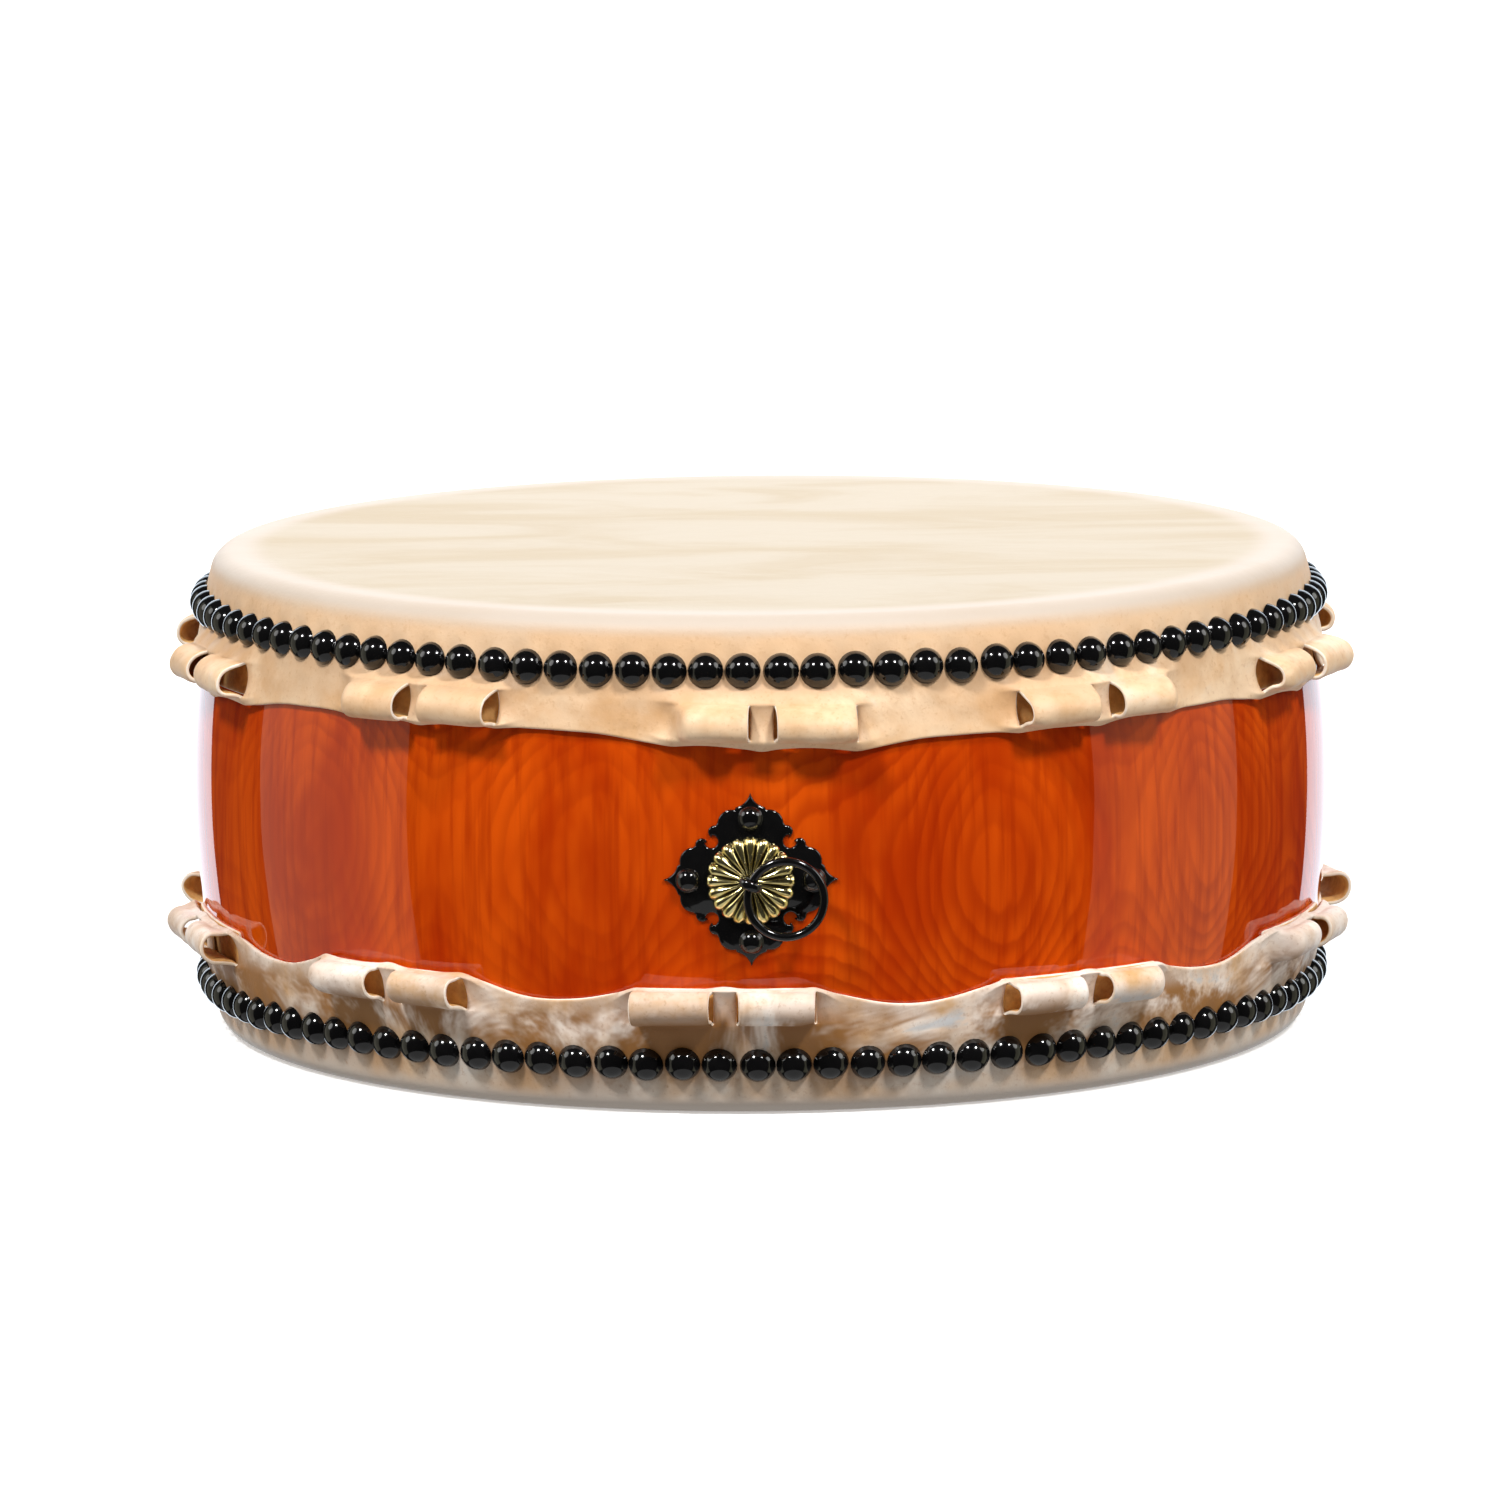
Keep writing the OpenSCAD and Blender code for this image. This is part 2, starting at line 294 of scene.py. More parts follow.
def rawhide(name, face, worn, skirt, ear, tan, dirt, bleached, amount):
    """Dried hide: a pale face, a skirt that tans towards the ears, with pores, folds and stains.

    The colours are those of its zones and marks. The amount, from 0 to 1, is how stained it is.
    """
    s = Shader(name, Roughness=0.55, Sheen_Weight=0.06, Sheen_Roughness=0.5)
    place = s.place()
    x, y, z = s.split(place)
    height = s.math("ABSOLUTE", s.math("SUBTRACT", z, HALF_H))
    flat = s.node("ShaderNodeCombineXYZ", x, y, 0.0).outputs[0]
    away = s.length(flat)
    clouds = s.noise(place, 16.0, 4.0, 0.6)
    blotches = s.noise(s.vector("ADD", place, (7.3, 2.2, 0.4)), 30.0, 4.0, 0.6)
    stains = s.noise(s.vector("ADD", place, (3.1, 0.7, 1.9)), 12.0, 5.0, 0.68, 0.6)
    azimuth = s.math("ARCTAN2", x, s.math("MULTIPLY", y, -1.0))
    leftwards = s.math("COSINE", s.math("ADD", azimuth, STAIN_LEAN))
    stains = s.math("MULTIPLY_ADD", leftwards, 0.05, stains)
    speckle = s.noise(place, 420.0, 2.0, 0.7)
    freckle = s.noise(place, 170.0, 3.0, 0.7)
    streaks = s.noise(s.vector("MULTIPLY", place, (5, 15, 20)), 1.0, 5.0, 0.6, 0.8)

    side = s.step(height, HALF_H - 3 * MM, HALF_H - 12 * MM)
    face_tone = s.mix(s.math("MULTIPLY", s.step(streaks, 0.38, 0.66), 0.8), face, worn)
    # Painted highlight: the face pales in a band just inside its rounded edge, as if that edge caught the
    # light.
    painted_rim_highlight = s.math("MULTIPLY", s.step(away, 246 * MM, 262 * MM), 0.75)
    face_tone = s.mix(painted_rim_highlight, face_tone, colour(207, 192, 179))
    tanned = s.math("MULTIPLY", s.step(clouds, 0.38, 0.62), 0.4 * amount + 0.3)
    skirt_tone = s.mix(tanned, skirt, tan)
    ear_tone = s.mix(s.step(blotches, 0.35, 0.75), ear, tan)
    tone = s.mix(s.step(height, TACK_Z - 5 * MM, TACK_Z - 16 * MM), skirt_tone, ear_tone)
    tone = s.mix(side, face_tone, tone)

    # Handling stains, mostly between the tacks and the ears.
    below_edge = s.step(height, HALF_H - 8 * MM, HALF_H - 30 * MM)
    middle = s.math("MULTIPLY", below_edge, s.step(height, 62 * MM, 76 * MM))
    reach = s.math("MULTIPLY_ADD", middle, 0.75, 0.25)
    spread = s.math("MULTIPLY", s.step(stains, 0.44, 0.58), s.math("MULTIPLY", reach, amount))
    tone = s.mix(s.math("MULTIPLY", spread, side), tone, dirt)
    chalky = s.math("MULTIPLY", s.step(stains, 0.47, 0.38), s.math("MULTIPLY", middle, amount))
    tone = s.mix(s.math("MULTIPLY", chalky, side), tone, bleached)
    dots = s.math("MULTIPLY", s.step(speckle, 0.56, 0.75), 0.3)
    dots = s.math("MULTIPLY_ADD", s.step(freckle, 0.56, 0.72), 0.22, dots)
    tone = s.mix(s.math("MULTIPLY", dots, side), tone, dirt)

    # The hide puckers between the tacks that hold it.
    pucker = s.math("COSINE", s.math("MULTIPLY", azimuth, float(TACK_COUNT)))
    above = s.step(height, HALF_H - 11 * MM, TACK_Z)
    near = s.math("MULTIPLY", above, s.step(height, HALF_H - 46 * MM, TACK_Z))
    folds = s.math("MULTIPLY", s.math("MULTIPLY", pucker, near), 1.4)
    grain = s.bump(speckle, 0.25 * MM, 0.35)
    crease = s.bump(s.math("ADD", folds, s.noise(place, 60.0, 4.0, 0.6)), 1.0 * MM, 0.5, grain)
    return s.finish(Base_Color=tone, Normal=crease)


def cut_hide(name, pale, tan):
    """The cut edge and the flesh side of the hide."""
    s = Shader(name, Roughness=0.8)
    place = s.place()
    tone = s.mix(s.step(s.noise(place, 90.0, 4.0, 0.65), 0.35, 0.7), pale, tan)
    return s.finish(Base_Color=tone, Normal=s.bump(s.noise(place, 500.0, 3.0), 0.3 * MM, 0.5))


def black_gloss(name, roughness, bumps):
    """Baked black finish over beaten iron."""
    s = Shader(name, Coat_Weight=1.0, Coat_Roughness=0.05, Coat_IOR=1.5, Specular_IOR_Level=0.1)
    place = s.place()
    tone = s.mix(s.noise(place, 160.0, 3.0), colour(4, 4, 5), colour(16, 15, 15))
    rough = s.math("MULTIPLY_ADD", s.noise(place, 240.0, 3.0), 0.15, roughness)
    dents = s.bump(s.noise(place, 90.0, 2.0), bumps, 0.6)
    s.feed(s.surface.inputs["Coat Normal"], dents)
    return s.finish(Base_Color=tone, Roughness=rough, Normal=dents)


def gilt_brass():
    """Polished brass, with painted shade darkening the flutes between the petals."""
    s = Shader("gilt_brass", Metallic=1.0)
    place = s.place()
    x, _, z = s.split(place)
    up = s.math("SUBTRACT", z, HANDLE_Z)
    angle = s.math("ARCTAN2", up, x)
    ridge = s.math("ABSOLUTE", s.math("COSINE", s.math("MULTIPLY", angle, PETALS / 2)))
    away = s.math("SQRT", s.math("ADD", s.math("POWER", x, 2.0), s.math("POWER", up, 2.0)))
    # Painted shade: the flutes between the petals are darkened in the colour itself, standing in for shade
    # in the hollows.
    groove = s.math("MULTIPLY", s.step(ridge, 0.6, 0.15), s.step(away, 21.5 * MM, 18.5 * MM))
    stain = s.noise(place, 300.0, 3.0)
    tone = s.mix(s.step(stain, 0.4, 0.75), colour(252, 236, 170), colour(222, 196, 112))
    tone = s.mix(s.math("MULTIPLY", groove, 0.9), tone, colour(58, 44, 16))
    rough = s.math("MULTIPLY_ADD", stain, 0.16, 0.1)
    return s.finish(Base_Color=tone, Roughness=rough)


def dull_steel():
    """Plain washers, out of sight inside the wood."""
    s = Shader("dull_steel", Metallic=1.0)
    place = s.place()
    rough = s.math("MULTIPLY_ADD", s.noise(place, 400.0, 3.0), 0.3, 0.35)
    tone = s.mix(s.noise(place, 150.0, 3.0), colour(120, 118, 114), colour(160, 158, 154))
    return s.finish(Base_Color=tone, Roughness=rough)


# ---- Mesh tools ----


def add_piece(name, bm, body, slot, materials, *replaced):
    """Makes an object of a mesh, gives it its looks, and ties it to the frame."""
    mesh = bpy.data.meshes.new(name)
    bm.to_mesh(mesh)
    bm.free()
    piece = bpy.data.objects.new(name, mesh)
    bpy.context.scene.collection.objects.link(piece)
    for material in materials:
        mesh.materials.append(material)
    mesh.shade_smooth()
    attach(piece, body)
    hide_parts(*replaced)
    return piece


def add_lathe(bm, profile, steps, matrix):
    """Revolves (radius, height) points about +Z. The profile runs upwards on the outside."""
    angles = [TAU * i / steps for i in range(steps)]
    rings = []
    for r, z in profile:
        if r < NO_SIZE:
            rings.append([bm.verts.new((0, 0, z))])
        else:
            rings.append([bm.verts.new((r * math.cos(a), r * math.sin(a), z)) for a in angles])
    for low, high in zip(rings, rings[1:]):
        for i in range(steps):
            corners = [ring[k % len(ring)] for ring, k in ((low, i), (low, i + 1), (high, i + 1), (high, i))]
            bm.faces.new(list(dict.fromkeys(corners)))
    bmesh.ops.transform(bm, matrix=matrix, verts=[v for ring in rings for v in ring])


def fill_grid(bm, columns, up, material=0):
    """Faces between columns of vertices that run down the drum, turned outwards."""
    for left, right in zip(columns, columns[1:]):
        for row in range(len(left) - 1):
            corners = [left[row], left[row + 1], right[row + 1], right[row]]
            face = bm.faces.new(corners if up > 0 else corners[::-1])
            face.material_index = material


def join_rings(bm, rings):
    """Faces between rings of vertices that follow one another."""
    for low, high in zip(rings, rings[1:]):
        for i in range(len(low)):
            j = (i + 1) % len(low)
            bm.faces.new([low[i], low[j], high[j], high[i]])


def handle_matrix(side):
    """The handle's axis: +Z outwards from the wood, +Y up the drum."""
    turn = Matrix.Rotation(math.radians(side), 4, "Z")
    return turn @ Matrix.Translation((0, -MID_R, HANDLE_Z)) @ Matrix.Rotation(math.radians(90), 4, "X")


def surface_matrix(azimuth, z, lift):
    """A place on the wood, z from mid height, with +Z along the outward normal."""
    lean = math.asin(z / BARREL_R)
    turn = Matrix.Translation((0, 0, HALF_H)) @ Matrix.Rotation(math.radians(azimuth), 4, "Z")
    return (
        turn
        @ Matrix.Translation((0, -wood_r(z), z))
        @ Matrix.Rotation(math.radians(90) - lean, 4, "X")
        @ Matrix.Translation((0, 0, lift))
    )


# ---- Wood ----


def wood_shell(material):
    """The hollowed barrel, with rounded outer edges and sloped inner ones."""
    def flipped(points):
        return [(r, -z) for r, z in reversed(points)]

    side_a = math.degrees(ROUND_A)
    edge = arc(ROUND_X, ROUND_Z, EDGE_ROUND, side_a, 90, 8)
    inner_r = BARREL_R - WALL
    inner_a = math.degrees(math.asin((WOOD_H - EDGE_SLOPE) / inner_r))
    outside = arc(BARREL_X, 0, BARREL_R, -side_a, side_a, 56)[1:-1]
    inside = arc(BARREL_X, 0, inner_r, inner_a, -inner_a, 30)
    profile = flipped(edge) + outside + edge + inside
    profile.append(profile[0])
    bm = bmesh.new()
    add_lathe(bm, profile, 288, Matrix.Translation((0, 0, HALF_H)))
    bmesh.ops.remove_doubles(bm, verts=bm.verts, dist=NO_SIZE)
    return add_piece("wood_shell", bm, "drum", "lacquered_wood", [material], "body_shell")


# ---- Heads ----

# The face's rings: (radius, how many columns of the ring outside it meet in one of its own)
MIDDLE_RADII = [(200 * MM, 5), (140 * MM, 1), (80 * MM, 1), (30 * MM, 8), (12 * MM, 1)]
FACE_RADII = [v * MM for v in (235, 248, 257)]
# Rows of the skirt, as shares of the way from its top to the ears
SKIRT_SHARES = (0, 0.25, 0.5, 0.68, 0.82, 0.93)
SKIRT_TOP = HALF_H - 18 * MM
EDGE_ROWS = 8
EAR_ROWS = 18
LIP_ROWS = 3
LINING_STEPS = 24


class Head:
    """One head's own sizes. Heights run from mid height towards the head's face, depths from the face.

    The scallop is how far the rim rises between ears, the stand how far the hide leaves the wood above
    an ear, the curl the angle at which a roll begins. Phase and drift place the ears round the drum.
    """

    def __init__(self, node, up, roll_depth, rim_depth, scallop, stand, curl, phase, drift, ears, seed):
        self.node = node
        self.up = up
        self.roll_z = HALF_H - roll_depth
        self.rim_z = HALF_H - rim_depth
        self.scallop = scallop
        self.stand = stand
        self.curl = curl
        self.roll_y = wood_r(self.roll_z) + ROLL_GAP + ROLL_R
        self.azimuths = [
            phase + 360 / EAR_COUNT * i + drift * math.sin(math.radians(720 * i / EAR_COUNT)) + ears[i][0]
            for i in range(EAR_COUNT)
        ]
        hand = random.Random(seed)
        self.loops = []
        for i, (_, left, right) in enumerate(ears):
            before, after = ears[i - 1][2], ears[(i + 1) % EAR_COUNT][1]
            middle = (left + right) / 2
            self.loops.append([
                Loop(hand, left * MM, middle * MM, (left + before) / 2 * MM),
                Loop(hand, right * MM, middle * MM, (right + after) / 2 * MM),
            ])


class Loop:
    """How one loop of an ear differs from its neighbours, as handwork does."""

    def __init__(self, hand, lift, slot_lift, far_lift):
        self.lift = lift
        self.slot_lift = slot_lift
        self.far_lift = far_lift
        self.end = EAR_LEN / 2 + hand.uniform(-2.0, 1.0) * MM
        self.radius = ROLL_R * hand.uniform(0.93, 1.02)
        self.drop = hand.uniform(-0.6, 0.6) * MM
        self.outer_flare = hand.choice((0.05, 0.02, -0.06, -0.2))
        self.inner_flare = hand.uniform(-0.04, 0.06)
        self.bow = hand.uniform(0.4, 1.6) * MM
        self.closed = hand.random() < 0.3

    def level(self, x, gap):
        """How much nearer the face the rim is here than its usual place."""
        if gap is not None:
            return lerp(self.lift, self.far_lift, smooth(gap))
        return lerp(self.slot_lift, self.lift, min(abs(x) / self.end, 1.0))


def ear_presence(x, end):
    """1 along an ear, easing to 0 on the plain skirt beyond its end."""
    return 1 - smooth((abs(x) - (end - 2 * MM)) / (15 * MM))


def slot_presence(x):
    """1 at the slot in an ear's middle, easing to 0 on its loops."""
    return 1 - smooth((abs(x) - EAR_SLOT / 2 + 1.5 * MM) / (5 * MM))


def rim_height(head, loop, x, gap):
    """Height of the hide's cut rim. gap runs from 0 at the ear's end to 1 midway to the next ear."""
    low = head.rim_z + loop.level(x, gap)
    if gap is not None:
        return low + head.scallop * (1 - (1 - gap) ** 2)
    if abs(x) < EAR_SLOT / 2:
        return low - 1.0 * MM * (1 - (2 * x / EAR_SLOT) ** 2)
    along = (abs(x) - EAR_SLOT / 2) / (loop.end - EAR_SLOT / 2)
    return low + 1.3 * MM * math.sin(math.pi * min(along, 1.0))


def roll_height(head, loop, x, gap):
    """Height of a roll's axis. It moves less than the rim where an ear sits nearer the tacks."""
    return head.roll_z + 0.6 * loop.level(x, gap)


def slit_top(head, loop, x, gap):
    """Outward offset from the wood, and height, of the skirt where an ear's slits begin."""
    stand = ear_presence(x, loop.end) * (head.stand + 1.5 * MM * slot_presence(x))
    return HIDE_T + stand, roll_height(head, loop, x, gap) + ROLL_R + 0.7 * MM


def slit_foot(head, loop, x, gap):
    """The same where the slits end, just inside the rim."""
    here = ear_presence(x, loop.end)
    rim = rim_height(head, loop, x, gap)
    stand = here * (5.0 + 0.6 * slot_presence(x)) * MM
    z = lerp(rim + 4 * MM, roll_height(head, loop, x, gap) - ROLL_R - 0.1 * MM, here)
    return HIDE_T + stand, max(z, rim + 1.2 * MM)


def loop_point(head, loop, x, swing, t, gap):
    """Outer surface of a loop at t, from the top of its slits to their foot: (offset, height)."""
    from_slot = smooth((abs(x) - EAR_SLOT / 2) / (7 * MM))
    from_end = smooth((loop.end - abs(x)) / (9 * MM))
    radius = loop.radius * (1 + loop.inner_flare * (1 - from_slot) + loop.outer_flare * (1 - from_end))
    level = roll_height(head, loop, x, gap) + loop.drop
    centre = (head.roll_y / math.cos(swing) - wood_r(level) + radius - ROLL_R, level)
    top = slit_top(head, loop, x, gap)
    foot = slit_foot(head, loop, x, gap)

    def on_roll(angle):
        a = math.radians(angle)
        return centre[0] + radius * math.cos(a), centre[1] + radius * math.sin(a)

    first, last = head.curl, -86
    roll_start, roll_end = 0.22, 0.86
    if t < roll_start:
        start = on_roll(first)
        a = math.radians(first)
        lead = (start[0] - 3 * MM * math.sin(a), start[1] + 3 * MM * math.cos(a))
        return bezier(top, (top[0] + 1.5 * MM, top[1] + 0.2 * MM), lead, start, t / roll_start)
    if t < roll_end:
        return on_roll(lerp(first, last, (t - roll_start) / (roll_end - roll_start)))
    start = on_roll(last)
    inwards = (start[0] - 2 * MM, start[1])
    lead = (foot[0] + 1.2 * MM, foot[1] + 0.2 * MM)
    return bezier(start, inwards, lead, foot, (t - roll_end) / (1 - roll_end))


def tucked_point(head, loop, x, t, gap):
    """The hide that passed behind the stretching rod, or the plain skirt beside an ear."""
    top = slit_top(head, loop, x, gap)
    foot = slit_foot(head, loop, x, gap)
    pocket = ear_presence(x, loop.end) * (3.2 - 1.2 * slot_presence(x)) * MM * math.sin(math.pi * t) ** 0.8
    return max(lerp(top[0], foot[0], t) - pocket, HIDE_T), lerp(top[1], foot[1], t)


def hide_rows():
    """Rows from the middle of the face down to the rim: (zone, place in that zone)."""
    rows = [("face", r) for r in FACE_RADII]
    rows += [("edge", lerp(math.pi / 2, ROUND_A, i / (EDGE_ROWS - 1))) for i in range(EDGE_ROWS)]
    rows += [("skirt", share) for share in SKIRT_SHARES]
    rows += [("ear", i / EAR_ROWS) for i in range(EAR_ROWS + 1)]
    rows += [("lip", i / LIP_ROWS) for i in range(1, LIP_ROWS + 1)]
    return rows


def hide_point(head, kind, loop, x, swing, gap, zone, t):
    """Radius and height of the hide's outer surface."""
    if zone == "face":
        return t, HALF_H
    if zone == "edge":
        reach = EDGE_ROUND + HIDE_T
        return ROUND_X + reach * math.cos(t), ROUND_Z + reach * math.sin(t)
    if zone == "skirt":
        top = slit_top(head, loop, x, gap)
        z = lerp(SKIRT_TOP, top[1], t)
        start = TACK_Z - 6 * MM
        return wood_r(z) + lerp(HIDE_T, top[0], smooth((start - z) / (start - top[1]))), z
    if zone == "ear":
        offset, z = tucked_point(head, loop, x, t, gap)
        if kind == "loop":
            share = smooth((loop.end - abs(x)) / (9 * MM)) if loop.closed else 1.0
            full = loop_point(head, loop, x, swing, t, gap)
            offset, z = lerp(offset, full[0], share), lerp(z, full[1], share)
        return wood_r(z) + offset, z
    foot = slit_foot(head, loop, x, gap)
    rim = rim_height(head, loop, x, gap)
    curl = ear_presence(x, loop.end) * 1.4 * MM
    z = lerp(foot[1], rim, t)
    return wood_r(z) + lerp(foot[0], HIDE_T + curl, smooth(t)), z


def ear_patches(head, i):
    """Spans of one ear and of half the skirt each side: (kind, loop, low azimuth, high azimuth, steps)."""
    here = head.azimuths[i]
    before = head.azimuths[i - 1] - (360 if i == 0 else 0)
    after = head.azimuths[(i + 1) % EAR_COUNT] + (360 if i == EAR_COUNT - 1 else 0)
    left, right = head.loops[i]

    def at(x):
        return here + math.degrees(math.atan(x / head.roll_y))

    slot = EAR_SLOT / 2
    return [
        ("gap", left, (before + here) / 2, at(-left.end), 8),
        ("loop", left, at(-left.end), at(-slot), 12),
        ("strip", left, at(-slot), here, 2),
        ("strip", right, here, at(slot), 2),
        ("loop", right, at(slot), at(right.end), 12),
        ("gap", right, at(right.end), (here + after) / 2, 8),
    ]


def hide_patch(bm, head, i, kind, loop, low, high, steps):
    """One patch of the hide, a grid of rows by columns."""
    centre = head.azimuths[i]
    columns = []
    for c in range(steps + 1):
        azimuth = lerp(low, high, c / steps)
        swing = math.radians(azimuth - centre)
        gap = None
        if kind == "gap":
            gap = c / steps if high > centre else 1 - c / steps
        x = head.roll_y * math.tan(swing)
        column = []
        for zone, t in hide_rows():
            r, z = hide_point(head, kind, loop, x, swing, gap, zone, t)
            turn = math.radians(azimuth)
            outer = c == (0 if high <= centre else steps)
            if kind == "loop" and zone == "ear" and c in (0, steps) and not (outer and loop.closed):
                turn += (1 if c == 0 else -1) * loop.bow * math.sin(math.pi * t) / head.roll_y
            if zone == "lip":
                z += 0.8 * MM * t * noise.noise(Vector((7 * math.sin(turn), 7 * math.cos(turn), head.up)))
            point = Vector((r * math.sin(turn), -r * math.cos(turn), HALF_H + head.up * z))
            if zone in ("skirt", "ear", "lip"):
                rough = 1.0 if zone == "skirt" else 1.7
                push = rough * (0.5 * MM * noise.noise(point * 45) + 0.25 * MM * noise.noise(point * 130))
                point += Vector((math.sin(turn), -math.cos(turn), 0)) * (push + 0.3 * MM)
            column.append(bm.verts.new(point))
        columns.append(column)
    fill_grid(bm, columns, head.up)


def ear_lining(bm, head, i):
    """The doubled hide that lines the back of an ear's two tunnels."""
    left, right = head.loops[i]
    reach = (-left.end - 3 * MM, right.end + 3 * MM)
    columns = []
    for c in range(LINING_STEPS + 1):
        x = lerp(*reach, c / LINING_STEPS)
        level = roll_height(head, left if x < 0 else right, x, None)
        turn = math.radians(head.azimuths[i]) + math.atan(x / head.roll_y)
        column = []
        for t in (0, 0.25, 0.5, 0.75, 1):
            z = level + lerp(ROLL_R + 2 * MM, -ROLL_R, t)
            r = wood_r(z) + HIDE_T * 0.7 + 0.5 * MM * noise.noise(Vector((x, z, i)) * 150)
            column.append(bm.verts.new((r * math.sin(turn), -r * math.cos(turn), HALF_H + head.up * z)))
        columns.append(column)
    fill_grid(bm, columns, head.up, material=1)


def face_middle(bm, head):
    """Closes the face inwards from its grid, with fewer and fewer columns."""
    outer = [v for v in bm.verts if v.is_boundary and math.hypot(v.co.x, v.co.y) < FACE_RADII[0] + MM]
    outer.sort(key=lambda v: math.atan2(v.co.y, v.co.x))
    for radius, share in MIDDLE_RADII:
        inner = []
        for v in outer[::share]:
            flat = Vector((v.co.x, v.co.y, 0)).normalized() * radius
            inner.append(bm.verts.new((flat.x, flat.y, v.co.z)))
        for i, v in enumerate(inner):
            far = [outer[(i * share + k) % len(outer)] for k in range(share + 1)]
            corners = [v] + far + [inner[(i + 1) % len(inner)]]
            bm.faces.new(corners if head.up > 0 else corners[::-1])
        outer = inner
    bm.faces.new(outer if head.up > 0 else outer[::-1])


def hide(name, head, slot, materials):
    """A whole head. Its materials are the grain side, the flesh side and the cut edge."""
    bm = bmesh.new()
    for i in range(EAR_COUNT):
        for patch in ear_patches(head, i):
            hide_patch(bm, head, i, *patch)
    bmesh.ops.remove_doubles(bm, verts=bm.verts, dist=SAME_PLACE)
    face_middle(bm, head)
    for i in range(EAR_COUNT):
        ear_lining(bm, head, i)
    bm.normal_update()
    piece = add_piece(name, bm, "drum", slot, materials, head.node)
    thickness = piece.modifiers.new("thickness", "SOLIDIFY")
    thickness.thickness = HIDE_T - 0.1 * MM
    thickness.offset = -1
    thickness.material_offset = 1
    thickness.material_offset_rim = 2
    rounding = piece.modifiers.new("rounding", "SUBSURF")
    rounding.levels = rounding.render_levels = 1
    return piece


# ---- Tacks ----

PLATE_TACK_R = 6.0 * MM
PLATE_TACK_H = 4.4 * MM
PLATE_TACK_SHANK = 16 * MM
PLATE_TACK_REACH = 30 * MM


def dome_profile(r, h, shank):
    """A tack from its point up to its crown: a dome r wide each way and h high, on a shank."""
    ball = (r * r + h * h) / (2 * h)
    brim = math.degrees(math.asin((ball - h) / ball))
    dome = arc(0, h - ball, ball, brim + 3, 90, 9)
    dome[-1] = (0, h)
    point = [(0, -shank), (SHANK_R * 0.7, -shank + SHANK_R), (SHANK_R, -shank + 3 * SHANK_R)]
    return point + [(SHANK_R, 0), (r * 0.96, 0), (r, 0.25 * MM)] + dome


def tack_row(name, z, phase, seed, material, node):
    """One row of tacks round the drum, each set a little off true."""
    hand = random.Random(seed)
    bm = bmesh.new()
    for i in range(TACK_COUNT):
        azimuth = phase + 360 / TACK_COUNT * i + hand.uniform(-0.09, 0.09)
        level = z + hand.uniform(-0.35, 0.35) * MM
        place = surface_matrix(azimuth, level, HIDE_T + hand.uniform(0, 0.3) * MM)
        tilt = Matrix.Rotation(math.radians(hand.uniform(-3, 3)), 4, "X")
        tilt = tilt @ Matrix.Rotation(math.radians(hand.uniform(-3, 3)), 4, "Y")
        profile = dome_profile(TACK_R, TACK_H * hand.uniform(0.96, 1.0), TACK_SHANK)
        add_lathe(bm, profile, 24, place @ tilt)
    return add_piece(name, bm, "drum", "black_tacks", [material], node)


def plate_tacks(side, label, material):
    """The four smaller tacks that hold a plate."""
    bm = bmesh.new()
    spread = math.degrees(math.asin(PLATE_TACK_REACH / MID_R))
    mid = HANDLE_Z - HALF_H
    profile = dome_profile(PLATE_TACK_R, PLATE_TACK_H, PLATE_TACK_SHANK)
    spots = ((spread, mid), (-spread, mid), (0, mid + PLATE_TACK_REACH), (0, mid - PLATE_TACK_REACH))
    for azimuth, z in spots:
        add_lathe(bm, profile, 28, surface_matrix(side + azimuth, z, PLATE_T))
    return add_piece(label + "_plate_domes", bm, "drum", "black_tacks", [material], label + "_plate_tacks")


# ---- Handles ----

PLATE_SPAN = PLATE_HI.z - PLATE_LO.z
LOBE_TIP = 42
PETALS = 20
ROSETTE_R = 21.3 * MM
EYE_R = 6.2 * MM
EYE_HOLE_R = 3.6 * MM
EYE_W = 4.6 * MM
LEG_T = 2.2 * MM
FOOT = 15 * MM
# The washer, with the play above it and below it
WASHER_STACK = 2.3 * MM


def half_lobe():
    """Right half of the plate's upper lobe, in mm from the plate's centre, tip first."""
    tip = [(0, LOBE_TIP)] + arc(9.2, 44.3, 9.4, 199, 256, 7)
    shoulder = arc(9.0, 27.3, 6.8, 102, 4, 9)
    cusp = arc(17.2, 23.4, 3.1, 100, -58, 9)
    notch = arc(18.8, 18.8, 3.2, 100, 225, 8)
    return tip + shoulder + cusp + notch


def plate_outline():
    """The upper lobe and its mirror image, turned to the four sides."""
    right = half_lobe()
    lobe = [(-x, y) for x, y in reversed(right[1:-1])] + right
    points = []
    for turn in range(4):
        a = math.radians(-90 * turn)
        points += [(x * math.cos(a) - y * math.sin(a), x * math.sin(a) + y * math.cos(a)) for x, y in lobe]
    return points


